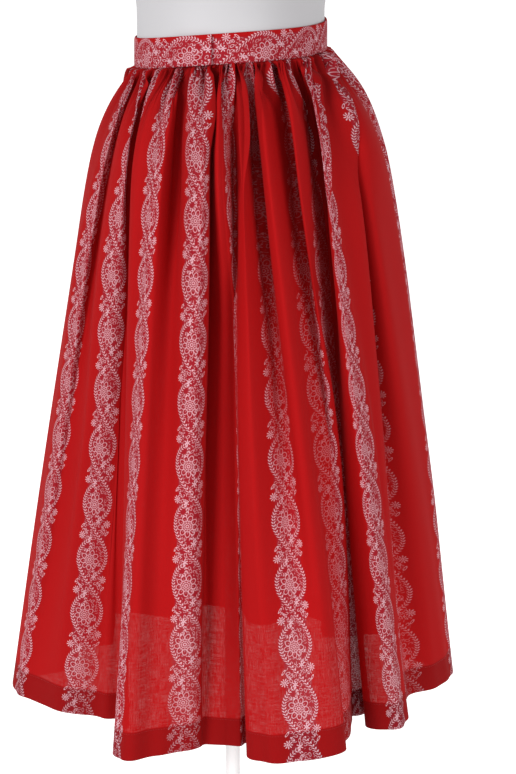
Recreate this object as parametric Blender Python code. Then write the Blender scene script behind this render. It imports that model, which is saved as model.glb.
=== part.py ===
"""A gathered cotton skirt on a limbless dress form, in metres, +Z up.

The wearer faces -Y, so the wearer's left side, where the skirt closes, is at +X.
The origin is on the floor, under the middle of the stand's round base.

The skirt is two straight widths of cloth gathered into a waistband. Every point of it has
a place on the flat cloth: how far round from the left side closing, going towards the back
(cloth), and how far down from the waistband (drop, 0 at the seam and 1 at the hem).
The plan of the folds is drawn twice, at the hips and at the hem, by a table with a row for
each crest and hollow, and the cloth between is lofted from those two plans.
"""

import math
from collections import namedtuple

import bmesh
import bpy
import numpy as np

# ---- driving sizes -------------------------------------------------------------------
WAIST_HEIGHT = 1.045  # top edge of the waistband above the floor, at the wearer's sides
BAND_HEIGHT = 0.031
BAND_WALL = 0.0024
BAND_LAP = 0.034  # how far the front end of the band lies over the back end
LAP_RISE = (1.35, 1.10)  # where the front end starts and ends its rise, in laps from its tip
SKIRT_DROP = 0.690  # from the band's lower edge to the hem, straight down
WAIST_TILT = math.radians(4.8)  # the band is lower at the front
HEM_TILT = math.radians(0.9)

CLOTH_ROUND = 2.148  # flat cloth round the skirt: two widths of 1.074
SIDE_SEAM = CLOTH_ROUND / 2  # the right side seam, from the left side closing
CLOTH_WALL = 0.0012
HEM_WALL = 0.0022  # the cloth and its turned-up hem
HEM_DEPTH = 0.029
GAP = 0.0003  # between pieces that meet
SEAM_GAP = 0.0005  # between the two widths, whose seams bend with the folds

FORM_GAP = 0.0005  # between the form and the cloth that rests on it
REST_CLEARANCE = 0.005  # between the form's hips and the outer face of a hollow on them
REST_SOFTNESS = 0.004  # how gradually a hollow settles there
WAIST_WIDE = 0.1265  # half sizes of the form's waist, side to side and front to back
WAIST_DEEP = 0.0965

HIP_DROP = 0.24  # where the hip plan of the folds is drawn
HIP_WIDEN = 1.14  # the hips are wider from side to side than from front to back
HEM_WIDEN = 1.02
SPRING = 0.062  # how soon below the band the gathers reach their full spread
SIDE_GATHER = 0.26  # the gathers are closer at the left side than at the right
FLAT_STRETCH = 0.62  # the cloth beside the closing is hardly gathered
FLAT_PLACE = -0.024
FLAT_REACH = 0.022
CLOSING_SHARE = 0.006  # the closing lies this share of the waist behind the side

POLE_RADIUS = 0.008
SOCKET_DEPTH = 0.030  # the cup under the form that takes the pole
BASE_RADIUS = 0.145
BASE_THICK = 0.012
BOSS_HEIGHT = 0.022  # the middle of the base, above its plate

# A row for each crest and hollow of the folds, in the order of the cloth, from the front
# round by the left side. cloth is metres from the closing. The bearings are degrees from
# the wearer's left side towards the back, and the reaches metres from the upright axis.
Turn = namedtuple("Turn", "cloth hip_bearing hip_reach hem_bearing hem_reach")
TURNS = [
    Turn(-0.425, -76, 0.161, -81, 0.243),
    Turn(-0.400, -60, 0.156, -76, 0.240),
    Turn(-0.370, -69, 0.134, -71, 0.235),
    Turn(-0.345, -46, 0.160, -65, 0.223),
    Turn(-0.300, -43, 0.150, -52, 0.200),
    Turn(-0.262, -42, 0.134, -42, 0.180),
    Turn(-0.238, -27, 0.166, -36, 0.165),
    Turn(-0.200, -30, 0.140, -30, 0.166),
    Turn(-0.160, -30, 0.122, -25, 0.194),
    Turn(-0.125, -21, 0.163, -19, 0.246),
    Turn(-0.100, -17, 0.166, -16, 0.262),
    Turn(-0.055, -12, 0.134, -8.5, 0.242),
    Turn(-0.024, -2, 0.168, -2, 0.220),
    Turn(0.012, 1.5, 0.118, 5, 0.206),
    Turn(0.040, 7.5, 0.166, 11.5, 0.214),
    Turn(0.072, 11.5, 0.143, 15, 0.202),
    Turn(0.094, 14, 0.130, 15.3, 0.232),
    Turn(0.118, 16.5, 0.163, 18.5, 0.254),
    Turn(0.150, 25, 0.128, 26, 0.260),
    Turn(0.200, 27, 0.168, 36, 0.256),
    Turn(0.250, 41, 0.130, 41, 0.228),
    Turn(0.290, 37, 0.168, 50, 0.180),
    Turn(0.320, 43.5, 0.158, 56, 0.178),
    Turn(0.360, 58, 0.130, 57, 0.200),
    Turn(0.400, 47, 0.170, 54, 0.231),
    Turn(0.450, 52.5, 0.172, 63, 0.233),
    Turn(0.487, 63.5, 0.172, 73, 0.205),
    Turn(0.513, 65.5, 0.142, 81, 0.203),
    Turn(0.545, 67.5, 0.172, 90, 0.225),
    Turn(0.600, 96, 0.171, 102, 0.243),
    Turn(0.655, 103, 0.132, 110, 0.222),
    Turn(0.705, 109, 0.168, 119, 0.188),
    Turn(0.760, 117, 0.130, 129, 0.215),
    Turn(0.800, 124, 0.166, 136, 0.232),
    Turn(0.850, 133, 0.128, 144, 0.200),
    Turn(0.895, 139, 0.164, 152, 0.170),
    Turn(0.950, 148, 0.126, 160, 0.208),
    Turn(0.995, 155, 0.162, 167, 0.226),
    Turn(1.050, 164, 0.124, 176, 0.192),
    Turn(1.090, 170, 0.162, 182, 0.184),
    Turn(1.145, 179, 0.124, 190, 0.238),
    Turn(1.185, 187, 0.163, 197, 0.260),
    Turn(1.245, 196, 0.124, 209, 0.224),
    Turn(1.290, 204, 0.162, 217, 0.262),
    Turn(1.330, 211, 0.122, 224, 0.272),
    Turn(1.385, 219, 0.163, 232, 0.226),
    Turn(1.440, 229, 0.126, 240, 0.186),
    Turn(1.485, 236, 0.164, 248, 0.222),
    Turn(1.530, 245, 0.126, 256, 0.240),
    Turn(1.580, 252, 0.163, 264, 0.200),
    Turn(1.620, 259, 0.126, 270, 0.190),
    Turn(1.660, 266, 0.160, 275, 0.222),
    Turn(1.695, 276, 0.134, 277, 0.238),
]

# A row for each level of the dress form: height above the top of the waistband, half the
# width, half the depth, how far the middle lies behind the axis, and the corner power of
# the outline, 2 for an ellipse and more for a squarer one.
Level = namedtuple("Level", "height wide deep back power")
FORM_LEVELS = [
    Level(-0.158, 0.045, 0.036, 0.000, 2.0),
    Level(-0.154, 0.098, 0.078, 0.000, 2.0),
    Level(-0.142, 0.124, 0.099, 0.000, 2.0),
    Level(-0.120, 0.137, 0.109, 0.000, 2.0),
    Level(-0.090, 0.138, 0.109, 0.000, 2.0),
    Level(-0.065, 0.133, 0.103, 0.000, 2.0),
    Level(-0.045, WAIST_WIDE, WAIST_DEEP, 0.0, 2.0),
    Level(0.012, WAIST_WIDE, WAIST_DEEP, 0.0, 2.0),
    Level(0.045, 0.130, 0.1015, 0.001, 2.0),
    Level(0.090, 0.137, 0.106, -0.001, 2.1),
    Level(0.135, 0.144, 0.116, -0.007, 2.1),
    Level(0.165, 0.148, 0.120, -0.010, 2.1),
    Level(0.195, 0.150, 0.120, -0.010, 2.1),
    Level(0.240, 0.153, 0.111, -0.003, 2.2),
    Level(0.290, 0.158, 0.098, 0.006, 2.4),
    Level(0.335, 0.170, 0.083, 0.014, 2.4),
    Level(0.365, 0.155, 0.074, 0.018, 2.3),
    Level(0.385, 0.110, 0.066, 0.020, 2.1),
    Level(0.400, 0.072, 0.060, 0.020, 2.0),
    Level(0.425, 0.057, 0.056, 0.017, 2.0),
    Level(0.460, 0.054, 0.054, 0.013, 2.0),
]
FORM_SIDES = 40
FORM_DROP = 0.25  # the form ends above this drop of the skirt
NEAR = 0.0015  # the step along the cloth that its direction is taken over


# ---- the plan of the cloth -----------------------------------------------------------
def through(places, values, where):
    """Smooth closed interpolation of rows of values at rising places round the cloth."""
    steps = np.diff(np.append(places, places[0] + CLOTH_ROUND))
    slopes = (np.roll(values, -1, axis=0) - values) / steps[:, None]
    before = np.roll(steps, 1)[:, None]
    after = steps[:, None]
    tangents = (np.roll(slopes, 1, axis=0) * after + slopes * before) / (before + after)
    where = (where - places[0]) % CLOTH_ROUND + places[0]
    row = np.searchsorted(places, where, side="right") - 1
    following = (row + 1) % len(places)
    step = steps[row][:, None]
    s = (where - places[row])[:, None] / step
    return (
        values[row] * (1 + 2 * s) * (1 - s) ** 2
        + tangents[row] * step * s * (1 - s) ** 2
        + values[following] * s * s * (3 - 2 * s)
        + tangents[following] * step * s * s * (s - 1)
    )


def polar(bearings, reaches, widen):
    angles = np.radians(bearings)
    return np.column_stack([widen * reaches * np.cos(angles), reaches * np.sin(angles)])


def waist_share(cloth):
    """How far round the waist the gathers bring a place on the cloth, 0 to 1."""
    fine = np.linspace(-0.5, 0.5, 2001) * CLOTH_ROUND
    spread = 1 - SIDE_GATHER * np.cos(2 * math.pi * fine / CLOTH_ROUND)
    spread += FLAT_STRETCH * np.exp(-(((fine - FLAT_PLACE) / FLAT_REACH) ** 2))
    total = np.concatenate([[0], np.cumsum((spread[1:] + spread[:-1]) / 2)])
    total = (total - np.interp(0, fine, total)) / total[-1]
    turns = np.round(cloth / CLOTH_ROUND)
    return CLOSING_SHARE + turns + np.interp(cloth - turns * CLOTH_ROUND, fine, total)


def oval(wide, deep, share):
    """Points of an ellipse at a share of its length from the left side."""
    angles = np.linspace(0, 2 * math.pi, 721)
    steps = np.hypot(np.diff(wide * np.cos(angles)), np.diff(deep * np.sin(angles)))
    lengths = np.concatenate([[0], np.cumsum(steps)]) / steps.sum()
    angle = np.interp(share % 1.0, lengths, angles)
    return np.column_stack([wide * np.cos(angle), deep * np.sin(angle)])


def form_reach(height, bearing):
    """Reach of the form below its waist, at heights from the band's top and bearings."""
    levels = np.array([[level.height, level.wide, level.deep] for level in FORM_LEVELS])
    wide = np.interp(height, levels[:, 0], levels[:, 1])
    deep = np.interp(height, levels[:, 0], levels[:, 2])
    return 1 / np.hypot(np.cos(bearing) / wide, np.sin(bearing) / deep)


def skirt_surface(cloth, drop):
    """Points of the skirt's outer face, in a row for each place on the cloth."""
    cloth = np.asarray(cloth, float)
    places, hip_bearings, hip_reaches, hem_bearings, hem_reaches = np.array(TURNS).T
    hip = through(places, polar(hip_bearings, hip_reaches, HIP_WIDEN), cloth)
    hem = through(places, polar(hem_bearings, hem_reaches, HEM_WIDEN), cloth)
    edge = BAND_WALL + FORM_GAP
    waist = oval(WAIST_WIDE + edge, WAIST_DEEP + edge, waist_share(cloth))
    flare = (hem - hip) / (1 - HIP_DROP)
    top = hip - flare * HIP_DROP
    plan = top + flare * drop + (waist - top) * math.exp(-drop / SPRING)
    seam_height = WAIST_HEIGHT - BAND_HEIGHT - GAP + math.tan(WAIST_TILT) * waist[:, 1]
    hem_height = WAIST_HEIGHT - BAND_HEIGHT - SKIRT_DROP + math.tan(HEM_TILT) * hem[:, 1]
    height = seam_height + (hem_height - seam_height) * drop
    bearing = np.arctan2(plan[:, 1], plan[:, 0])
    reach = np.hypot(plan[:, 0], plan[:, 1])
    if 0 < drop < FORM_DROP:
        least = form_reach(height - WAIST_HEIGHT, bearing) + REST_CLEARANCE
        settled = least + REST_SOFTNESS * np.logaddexp(0, (reach - least) / REST_SOFTNESS)
        plan *= (settled / reach)[:, None]
    return np.column_stack([plan, height])


def along(cloth, drop):
    """The level step of the skirt's surface for each step along the cloth."""
    step = skirt_surface(cloth + NEAR, drop) - skirt_surface(cloth - NEAR, drop)
    return step[:, :2] / (2 * NEAR)


def crowding(cloth, drop):
    """How far apart, over how far apart on the flat cloth: under 1 where it is gathered."""
    return np.linalg.norm(along(cloth, drop), axis=1)


def inward(cloth, drop):
    """Level unit vectors into the skirt, square to the cloth."""
    way = along(cloth, drop) / crowding(cloth, drop)[:, None]
    return np.column_stack([-way[:, 1], way[:, 0], np.zeros(len(cloth))])


# ---- making solids -------------------------------------------------------------------
def material(name, colour, roughness, metallic=0.0):
    made = bpy.data.materials.new(name)
    made.use_nodes = True
    shader = made.node_tree.nodes["Principled BSDF"]
    shader.inputs["Base Color"].default_value = (*colour, 1)
    shader.inputs["Roughness"].default_value = roughness
    shader.inputs["Metallic"].default_value = metallic
    return made


def add_object(name, mesh, finish, smooth=True):
    obj = bpy.data.objects.new(name, mesh)
    bpy.context.scene.collection.objects.link(obj)
    mesh.materials.append(finish)
    if smooth:
        mesh.shade_smooth()
        mesh.set_sharp_from_angle(angle=math.radians(50))
    return obj


def mesh_of(name, points, faces):
    mesh = bpy.data.meshes.new(name)
    mesh.from_pydata([tuple(map(float, point)) for point in points], [], faces)
    bm = bmesh.new()
    bm.from_mesh(mesh)
    bmesh.ops.recalc_face_normals(bm, faces=bm.faces)
    bm.to_mesh(mesh)
    bm.free()
    return mesh


def open_wall(name, outer, inner):
    """A wall between two grids of points, closed along its four edges."""
    rows, columns = outer.shape[:2]
    points = np.concatenate([outer.reshape(-1, 3), inner.reshape(-1, 3)])

    def at(side, row, column):
        return (side * rows + row) * columns + column

    faces = []
    for row in range(rows - 1):
        for column in range(columns - 1):
            for side in (0, 1):
                faces.append([
                    at(side, row, column),
                    at(side, row, column + 1),
                    at(side, row + 1, column + 1),
                    at(side, row + 1, column),
                ])
    rim = [(0, column) for column in range(columns)]
    rim += [(row, columns - 1) for row in range(1, rows)]
    rim += [(rows - 1, column) for column in range(columns - 2, -1, -1)]
    rim += [(row, 0) for row in range(rows - 2, 0, -1)]
    for here, there in zip(rim, rim[1:] + rim[:1]):
        faces.append([at(0, *here), at(0, *there), at(1, *there), at(1, *here)])
    return mesh_of(name, points, faces)


def loft(name, rings):
    """A closed skin through rings of equal length, capped at both ends."""
    count = len(rings[0])
    points = np.concatenate(rings)
    faces = [list(range(count)), list(range(len(points) - count, len(points)))]
    for ring in range(len(rings) - 1):
        for column in range(count):
            following = (column + 1) % count
            faces.append([
                ring * count + column,
                ring * count + following,
                (ring + 1) * count + following,
                (ring + 1) * count + column,
            ])
    return mesh_of(name, points, faces)


# ---- the pieces ----------------------------------------------------------------------
STEPS_PER_TURN = 3
DROPS = [0.0, 0.010, 0.028, 0.06, 0.11, 0.18, 0.28, 0.44, 0.62, 0.80]


def skirt_panel(name, first, last, finish):
    """One width of the skirt, between two places on the cloth, with its hem turned up."""
    places = sorted(turn.cloth % CLOTH_ROUND for turn in TURNS)
    places = [places[-1] - CLOTH_ROUND, *places, places[0] + CLOTH_ROUND]
    fine = [
        start + (end - start) * step / STEPS_PER_TURN
        for start, end in zip(places, places[1:])
        for step in range(STEPS_PER_TURN)
    ]
    kept = [place for place in fine if first + 0.004 < place < last - 0.004]
    turn_up = 1 - HEM_DEPTH / SKIRT_DROP
    levels = [(drop, CLOTH_WALL) for drop in DROPS]
    levels += [(turn_up - 0.002, CLOTH_WALL), (turn_up, HEM_WALL), (1.0, HEM_WALL)]
    outer = []
    inner = []
    for drop, wall in levels:
        start, end = SEAM_GAP / 2 / crowding(np.array([first, last]), drop)
        cloth = np.array([first + start, *kept, last - end])
        points = skirt_surface(cloth, drop)
        outer.append(points)
        inner.append(points + inward(cloth, drop) * wall)
    return add_object(name, open_wall(name, np.array(outer), np.array(inner)), finish)


BAND_SIDES = 96


def waistband(finish):
    """The band: one strip round the waist, whose front end lies over its back end."""
    around = 2 * math.pi * math.sqrt((WAIST_WIDE**2 + WAIST_DEEP**2) / 2)
    lap = BAND_LAP / around
    shares = np.linspace(-lap, 1, BAND_SIDES)
    rise = [1 - laps * lap for laps in LAP_RISE]
    shares = np.sort(np.append(shares, rise))
    lift = np.interp(shares, rise, [0.0, BAND_WALL + GAP])
    outer = []
    inner = []
    for level in (0.0, -BAND_HEIGHT):
        for face, rows in ((BAND_WALL, outer), (0.0, inner)):
            out = FORM_GAP + face + lift
            plan = oval(WAIST_WIDE, WAIST_DEEP, shares)
            away = plan / [WAIST_WIDE**2, WAIST_DEEP**2]
            plan = plan + away / np.linalg.norm(away, axis=1)[:, None] * out[:, None]
            height = WAIST_HEIGHT + level + math.tan(WAIST_TILT) * plan[:, 1]
            rows.append(np.column_stack([plan, height]))
    mesh = open_wall("waistband", np.array(outer), np.array(inner))
    return add_object("waistband", mesh, finish)


def form_ring(level):
    angles = np.arange(FORM_SIDES) * 2 * math.pi / FORM_SIDES
    shape = 2 / level.power
    x = level.wide * np.sign(np.cos(angles)) * np.abs(np.cos(angles)) ** shape
    y = level.deep * np.sign(np.sin(angles)) * np.abs(np.sin(angles)) ** shape
    height = np.full(FORM_SIDES, WAIST_HEIGHT + level.height)
    return np.column_stack([x, y + level.back, height])


def round_piece(name, profile, finish, sides=32):
    """A turned piece from rows of radius and height, bottom to top."""
    angles = np.arange(sides) * 2 * math.pi / sides
    rings = [
        np.column_stack([
            radius * np.cos(angles),
            radius * np.sin(angles),
            np.full(sides, height),
        ])
        for radius, height in profile
    ]
    return add_object(name, loft(name, rings), finish)


def dress_form(finish, cap_finish, stand_finish):
    torso = loft("form_torso", [form_ring(level) for level in FORM_LEVELS])
    add_object("form_torso", torso, finish)
    top = FORM_LEVELS[-1]
    cap_low = WAIST_HEIGHT + top.height + GAP
    cap = round_piece(
        "form_neck_cap",
        [
            (0.056, cap_low),
            (0.056, cap_low + 0.006),
            (0.050, cap_low + 0.012),
            (0.020, cap_low + 0.017),
        ],
        cap_finish,
    )
    cap.location.y = top.back
    under = WAIST_HEIGHT + FORM_LEVELS[0].height - GAP
    round_piece(
        "form_socket",
        [
            (0.014, under - SOCKET_DEPTH),
            (0.018, under - SOCKET_DEPTH + 0.004),
            (0.024, under - 0.004),
            (0.030, under),
        ],
        stand_finish,
    )
    round_piece(
        "stand_pole",
        [
            (POLE_RADIUS, BASE_THICK + BOSS_HEIGHT + GAP),
            (POLE_RADIUS, under - SOCKET_DEPTH - GAP),
        ],
        stand_finish,
        sides=16,
    )
    round_piece(
        "stand_base",
        [
            (BASE_RADIUS - 0.002, 0.0),
            (BASE_RADIUS, 0.002),
            (BASE_RADIUS, BASE_THICK - 0.005),
            (BASE_RADIUS - 0.006, BASE_THICK),
            (0.022, BASE_THICK + 0.004),
            (0.014, BASE_THICK + 0.012),
            (0.012, BASE_THICK + BOSS_HEIGHT),
        ],
        stand_finish,
        sides=48,
    )


def main():
    for obj in list(bpy.data.objects):
        bpy.data.objects.remove(obj, do_unlink=True)
    cotton = material("red_cotton", (0.47, 0.010, 0.014), 0.85)
    band_cotton = material("printed_band_cotton", (0.55, 0.12, 0.15), 0.85)
    form_paint = material("pale_grey_form", (0.64, 0.63, 0.65), 0.6)
    cap_paint = material("pale_grey_cap", (0.70, 0.69, 0.71), 0.5)
    stand_paint = material("white_stand", (0.85, 0.85, 0.85), 0.45)
    skirt_panel("skirt_back", 0.0, SIDE_SEAM, cotton)
    skirt_panel("skirt_front", SIDE_SEAM, CLOTH_ROUND, cotton)
    waistband(band_cotton)
    dress_form(form_paint, cap_paint, stand_paint)


main()
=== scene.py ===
"""A gathered cotton skirt, printed with vine stripes, on a plain limbless dress form.

Metres, +Z up, the wearer facing -Y, so the closing at the wearer's left side is at +X.
Every point of the skirt has a place on the flat cloth: how far round from the closing,
going towards the back (cloth), and how far down from the band (drop, 0 at the waist seam
and 1 at the hem). The folds follow the solids', which are planned at the hips and at the
hem. This script adds what is finer: the gathers under the band, the creases, the swing of
single folds, the turned-up hem, the seams, the stitches, the weave and the print.
"""

import math
from collections import namedtuple

import bmesh
import bpy
import numpy as np
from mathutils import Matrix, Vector


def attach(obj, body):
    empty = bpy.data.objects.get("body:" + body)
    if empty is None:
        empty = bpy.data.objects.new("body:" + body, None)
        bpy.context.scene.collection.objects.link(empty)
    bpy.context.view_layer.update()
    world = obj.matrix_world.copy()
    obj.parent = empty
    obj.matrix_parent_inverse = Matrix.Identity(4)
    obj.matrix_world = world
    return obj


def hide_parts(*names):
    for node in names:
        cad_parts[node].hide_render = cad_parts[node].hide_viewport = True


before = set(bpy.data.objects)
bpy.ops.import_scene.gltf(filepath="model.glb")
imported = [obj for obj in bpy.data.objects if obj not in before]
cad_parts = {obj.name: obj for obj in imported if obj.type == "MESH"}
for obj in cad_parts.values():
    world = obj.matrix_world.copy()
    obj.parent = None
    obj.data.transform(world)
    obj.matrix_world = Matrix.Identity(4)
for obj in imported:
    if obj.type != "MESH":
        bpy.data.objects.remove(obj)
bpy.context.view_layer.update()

# ---- sizes, as in the solids ----
WAIST_HEIGHT = 1.045  # top edge of the waistband above the floor, at the wearer's sides
BAND_HEIGHT = 0.031
BAND_WALL = 0.0024
BAND_LAP = 0.034
LAP_RISE = (1.35, 1.10)  # where the front end starts and ends its rise, in laps from its tip
SKIRT_DROP = 0.690
WAIST_TILT = math.radians(4.8)
HEM_TILT = math.radians(0.9)
CLOTH_ROUND = 2.148  # flat cloth round the skirt: two widths of 1.074
SIDE_SEAM = CLOTH_ROUND / 2
HEM_DEPTH = 0.029
GAP = 0.0003
FORM_GAP = 0.0005
REST_CLEARANCE = 0.005  # of the cloth over the form's hips
REST_SOFTNESS = 0.004
WAIST_WIDE = 0.1265  # half sizes of the form's waist
WAIST_DEEP = 0.0965
HIP_DROP = 0.24
HIP_WIDEN = 1.14
HEM_WIDEN = 1.02
SPRING = 0.062  # drop in which the cloth leaves the waist for its folds
SIDE_GATHER = 0.26  # how much closer the gathers are at the closing, and looser opposite
FLAT_STRETCH = 0.62  # the flatter stretch in front of the closing, its place and its reach
FLAT_PLACE = -0.024
FLAT_REACH = 0.022
CLOSING_SHARE = 0.006  # of the waist, from the wearer's left to the closing
POLE_RADIUS = 0.008
SOCKET_DEPTH = 0.030
BASE_RADIUS = 0.145
BASE_THICK = 0.012
BOSS_HEIGHT = 0.022

# ---- sizes of what is finer than the solids ----
LAP_LIFT = 0.0010  # between the two ends of the band, where they lap
WAIST_DIP = 0.006  # of the band's edges at the middles of the front and the back
SLANT = 0.705  # length of the cloth from the waist seam to the hem's edge
SEAM_ALLOWANCE = 0.010
SEAM_GAP = 0.0002
TURN_RADIUS = 0.0006  # of the cloth at the hem's edge and at a seam
SLIT_LENGTH = 0.090  # the side seam is open this far down from the band
SLIT_LIFT = 0.006  # of its front edge
SLIT_SINK = 0.014  # of its back edge
SLIT_REACH = (0.020, 0.022)  # of the lift and the sink, along the cloth
SLIT_OPEN = 0.008  # how far below the band it is fully open
SLIT_CLOSES = 0.45  # share of its length below which it closes again
STRIPE_PITCH = 0.0895  # of the print, across the cloth
STRIPE_PLACE = 0.0655  # the first stripe behind the closing
PRINT_PLACE = 0.0507  # where an oval starts, down from the waist seam
SEED = 7


def table(columns, rows):
    """Rows of named values. A column named in mm holds millimetres, and is read in metres."""
    names = columns.split()
    units = [1000 if name.endswith("_mm") else 1 for name in names]
    named = namedtuple("Row", [name.removesuffix("_mm") for name in names])
    return [named(*(value / unit for value, unit in zip(row, units))) for row in rows]


# A row for each crest and hollow of the folds, on the solids' or close to them.
TURNS = table("cloth_mm hip_bearing hip_reach_mm hem_bearing hem_reach_mm", [
    (-425, -73, 162, -80, 243),
    (-402, -60, 162, -74.5, 240),
    (-372, -51.5, 160, -69, 234),
    (-350, -53, 150, -64.5, 225),
    (-318, -43, 160, -54, 208),
    (-280, -32, 163, -44, 190),
    (-245, -35, 150, -36, 172),
    (-205, -31, 147, -30.5, 169),
    (-168, -28, 162, -26, 188),
    (-132, -22, 165, -20, 237),
    (-95, -14.5, 168, -15.2, 262),
    (-58, -10, 149, -8.5, 242),
    (-42, -4.5, 166, -5.8, 233),
    (-6, 4, 166, 1.5, 209),
    (12, 3.5, 118, 5, 198),
    (27, 6.5, 163, 8.5, 206),
    (44, 9.3, 165, 12, 213.5),
    (72, 11.5, 149, 15, 202),
    (94, 14, 141, 15.3, 232),
    (118, 16.5, 163, 18.5, 254),
    (150, 25, 133, 26, 260),
    (200, 27, 168, 36, 256),
    (250, 41, 141, 41, 228),
    (290, 37, 168, 50, 180),
    (320, 43.5, 158, 56, 178),
    (350, 56, 134, 60.5, 188),
    (378, 52, 145, 52.6, 210),
    (400, 47, 170, 54, 231),
    (450, 52.5, 172, 63, 233),
    (487, 63.5, 172, 73, 205),
    (513, 65.5, 148, 81, 203),
    (545, 67.5, 175, 90, 225),
    (600, 96, 175.5, 102, 243),
    (655, 103, 142, 110, 222),
    (705, 109, 168, 119, 188),
    (760, 117, 141, 129, 215),
    (800, 124, 166, 136, 232),
    (850, 133, 140, 144, 200),
    (895, 139, 164, 152, 170),
    (950, 148, 139, 160, 208),
    (995, 155, 162, 167, 226),
    (1050, 164, 138, 176, 192),
    (1090, 170, 162, 182, 184),
    (1145, 179, 138, 190, 238),
    (1185, 187, 163, 197, 260),
    (1245, 196, 138, 209, 224),
    (1290, 204, 162, 217, 262),
    (1330, 211, 136, 224, 272),
    (1385, 219, 163, 232, 226),
    (1440, 229, 139, 240, 186),
    (1485, 236, 164, 248, 222),
    (1530, 245, 139, 256, 240),
    (1580, 252, 163, 264, 200),
    (1620, 259, 139, 270, 190),
    (1660, 266, 160, 275, 222),
    (1695, 276, 144, 277, 238),
])

# A row for each main crease: where it starts on the cloth, how far it leans along the cloth
# by its end, its first and last drop, its half width on the cloth, how far it pushes the cloth
# out, or in when it is negative, and how far it draws the cloth together.
CREASES = table("cloth_mm lean_mm start end width_mm push_mm draw_mm", [
    (-232, 10, 0.012, 0.16, 11, -8, 2),
    (-165, 2, 0.004, 0.05, 8, -9, 1),
    (-66, 6, 0.01, 0.34, 8, -7, 1.5),
    (-78, 0, 0.004, 0.04, 7, -8, 1),
    (114, -8, 0.01, 0.2, 9, -10, 2),
    (154, -4, 0.006, 0.42, 11, -9, 2),
    (219, 0, 0.006, 0.06, 7, -9, 1),
    (250, -6, 0.004, 0.36, 11, -10, 2),
    (338, 4, 0.004, 0.24, 10, -10, 1.5),
    (402, 10, 0.012, 0.24, 13, -9, 2),
    (455, 0, 0.004, 0.05, 8, -8, 1),
    (512, 4, 0, 0.2, 18, 16, 0),
    (556, 10, 0, 0.26, 16, 6, 0),
    (590, 6, 0.06, 0.75, 10, -6, 1),
    (628, -10, 0.008, 0.16, 11, -11, 1.5),
    (672, 4, 0.004, 0.07, 8, -9, 1),
    (730, -16, 0.01, 0.3, 10, -10, 2),
    (785, 10, 0.006, 0.11, 11, -10, 1.5),
    (828, 0, 0.004, 0.06, 7, -8, 1),
    (884, 18, 0.012, 0.22, 12, -11, 2),
    (938, -6, 0.006, 0.09, 9, -10, 1),
    (1012, 12, 0.01, 0.34, 10, -9, 1.5),
    (1066, -4, 0.004, 0.08, 8, -10, 1),
    (1125, 8, 0.01, 0.17, 12, -12, 2),
    (1168, 0, 0.004, 0.05, 7, -8, 1),
    (1226, -20, 0.012, 0.26, 11, -10, 1.5),
    (1283, 6, 0.006, 0.1, 10, -11, 1.5),
    (1352, 14, 0.01, 0.2, 12, -10, 2),
    (1404, -4, 0.004, 0.06, 8, -9, 1),
    (1462, 10, 0.01, 0.32, 10, -10, 1.5),
    (1518, -8, 0.006, 0.12, 11, -11, 1.5),
    (1566, 0, 0.004, 0.05, 7, -8, 1),
    (1612, 12, 0.012, 0.24, 11, -10, 2),
    (1676, -6, 0.006, 0.09, 9, -10, 1),
])

# A row for each place where the cloth hangs aside from its fold: the place and half width on
# the cloth, the drops where this starts, is fullest and ends, and how far the cloth is aside.
SHIFTS = table("cloth_mm width_mm start full end slide_mm", [
    (-375, 45, 0.01, 0.12, 0.3, 16),
    (-288, 42, 0, 0.1, 0.28, 20),
    (-350, 40, 0.24, 0.5, 0.98, 18),
    (-30, 35, -0.02, 0.03, 0.18, -8),
    (74, 30, 0.03, 0.14, 0.44, 12),
    (268, 26, 0.16, 0.48, 1.6, 26),
    (235, 30, 0, 0.08, 0.34, 10),
    (305, 36, 0, 0.08, 0.3, 20),
    (222, 30, 0.56, 0.8, 1.8, 17),
    (440, 22, 0.3, 0.62, 1.2, 14),
    (492, 22, 0.4, 0.64, 1.2, -13),
    (475, 80, 0.01, 0.06, 0.22, -21),
    (1150, 80, 0.01, 0.09, 0.3, 20),
    (1560, 80, 0.01, 0.07, 0.26, -22),
])

# A row for each place where a fold swings: the place and half width on the cloth, the drops
# where this starts, is fullest and ends, and how far it goes outwards and aside.
SWINGS = table("cloth_mm width_mm start full end out_mm aside_mm", [
    (-268, 19, 0.12, 0.34, 1.3, -14, 0),
    (-250, 14, 0.2, 0.5, 1.6, 6, 0),
    (-70, 20, 0.1, 0.4, 1.6, 6, 0),
    (13, 11, 0.06, 0.3, 1.8, 13, -11),
    (41, 26, 0.14, 0.38, 1.4, -25, 7),
    (94, 20, 0.2, 0.52, 1.6, 12, -3),
    (272, 34, 0.1, 0.62, 1.6, 6, 18),
    (378, 16, 0.02, 0.18, 0.6, 0, 12),
    (600, 60, -0.02, 0.4, 1.15, 4, 0),
])

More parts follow.
